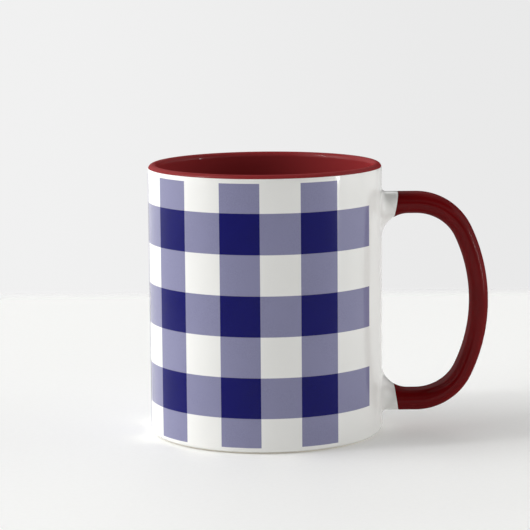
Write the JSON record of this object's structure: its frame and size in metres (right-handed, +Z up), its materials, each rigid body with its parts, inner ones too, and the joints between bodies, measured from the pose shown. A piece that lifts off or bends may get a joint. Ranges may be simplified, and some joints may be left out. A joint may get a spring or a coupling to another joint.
{
  "type": "mug",
  "caption": "Straight-sided ceramic drinking mug with a loop handle; the inside, lip and handle are glazed in one colour and the white wall carries a check print.",
  "frame": {"origin": "on the cup's axis, in the plane that the foot ring stands on", "axes": "+Z up through the mouth, +X from the cup's axis to the handle, Y across the handle's loop"},
  "size_m": [0.1194, 0.082, 0.0953],
  "materials": {
    "bisque": "matte",
    "slip": "matte",
    "white_glaze": "gloss",
    "maroon_glaze": "gloss",
    "print_coat": "gloss",
    "navy_print": "gloss",
    "half_navy_print": "gloss"
  },
  "bodies": {
    "root": {"cup_body": "bisque", "handle_core": "bisque", "upper_luting_joint": "slip", "lower_luting_joint": "slip", "outer_glaze": "white_glaze", "underside_glaze": "white_glaze", "liner_glaze": "maroon_glaze", "handle_glaze": "maroon_glaze", "clear_coat": "print_coat", "print_full_tone": "navy_print", "print_column_tone": "half_navy_print", "print_band_tone": "half_navy_print"}
  },
  "joints": []
}
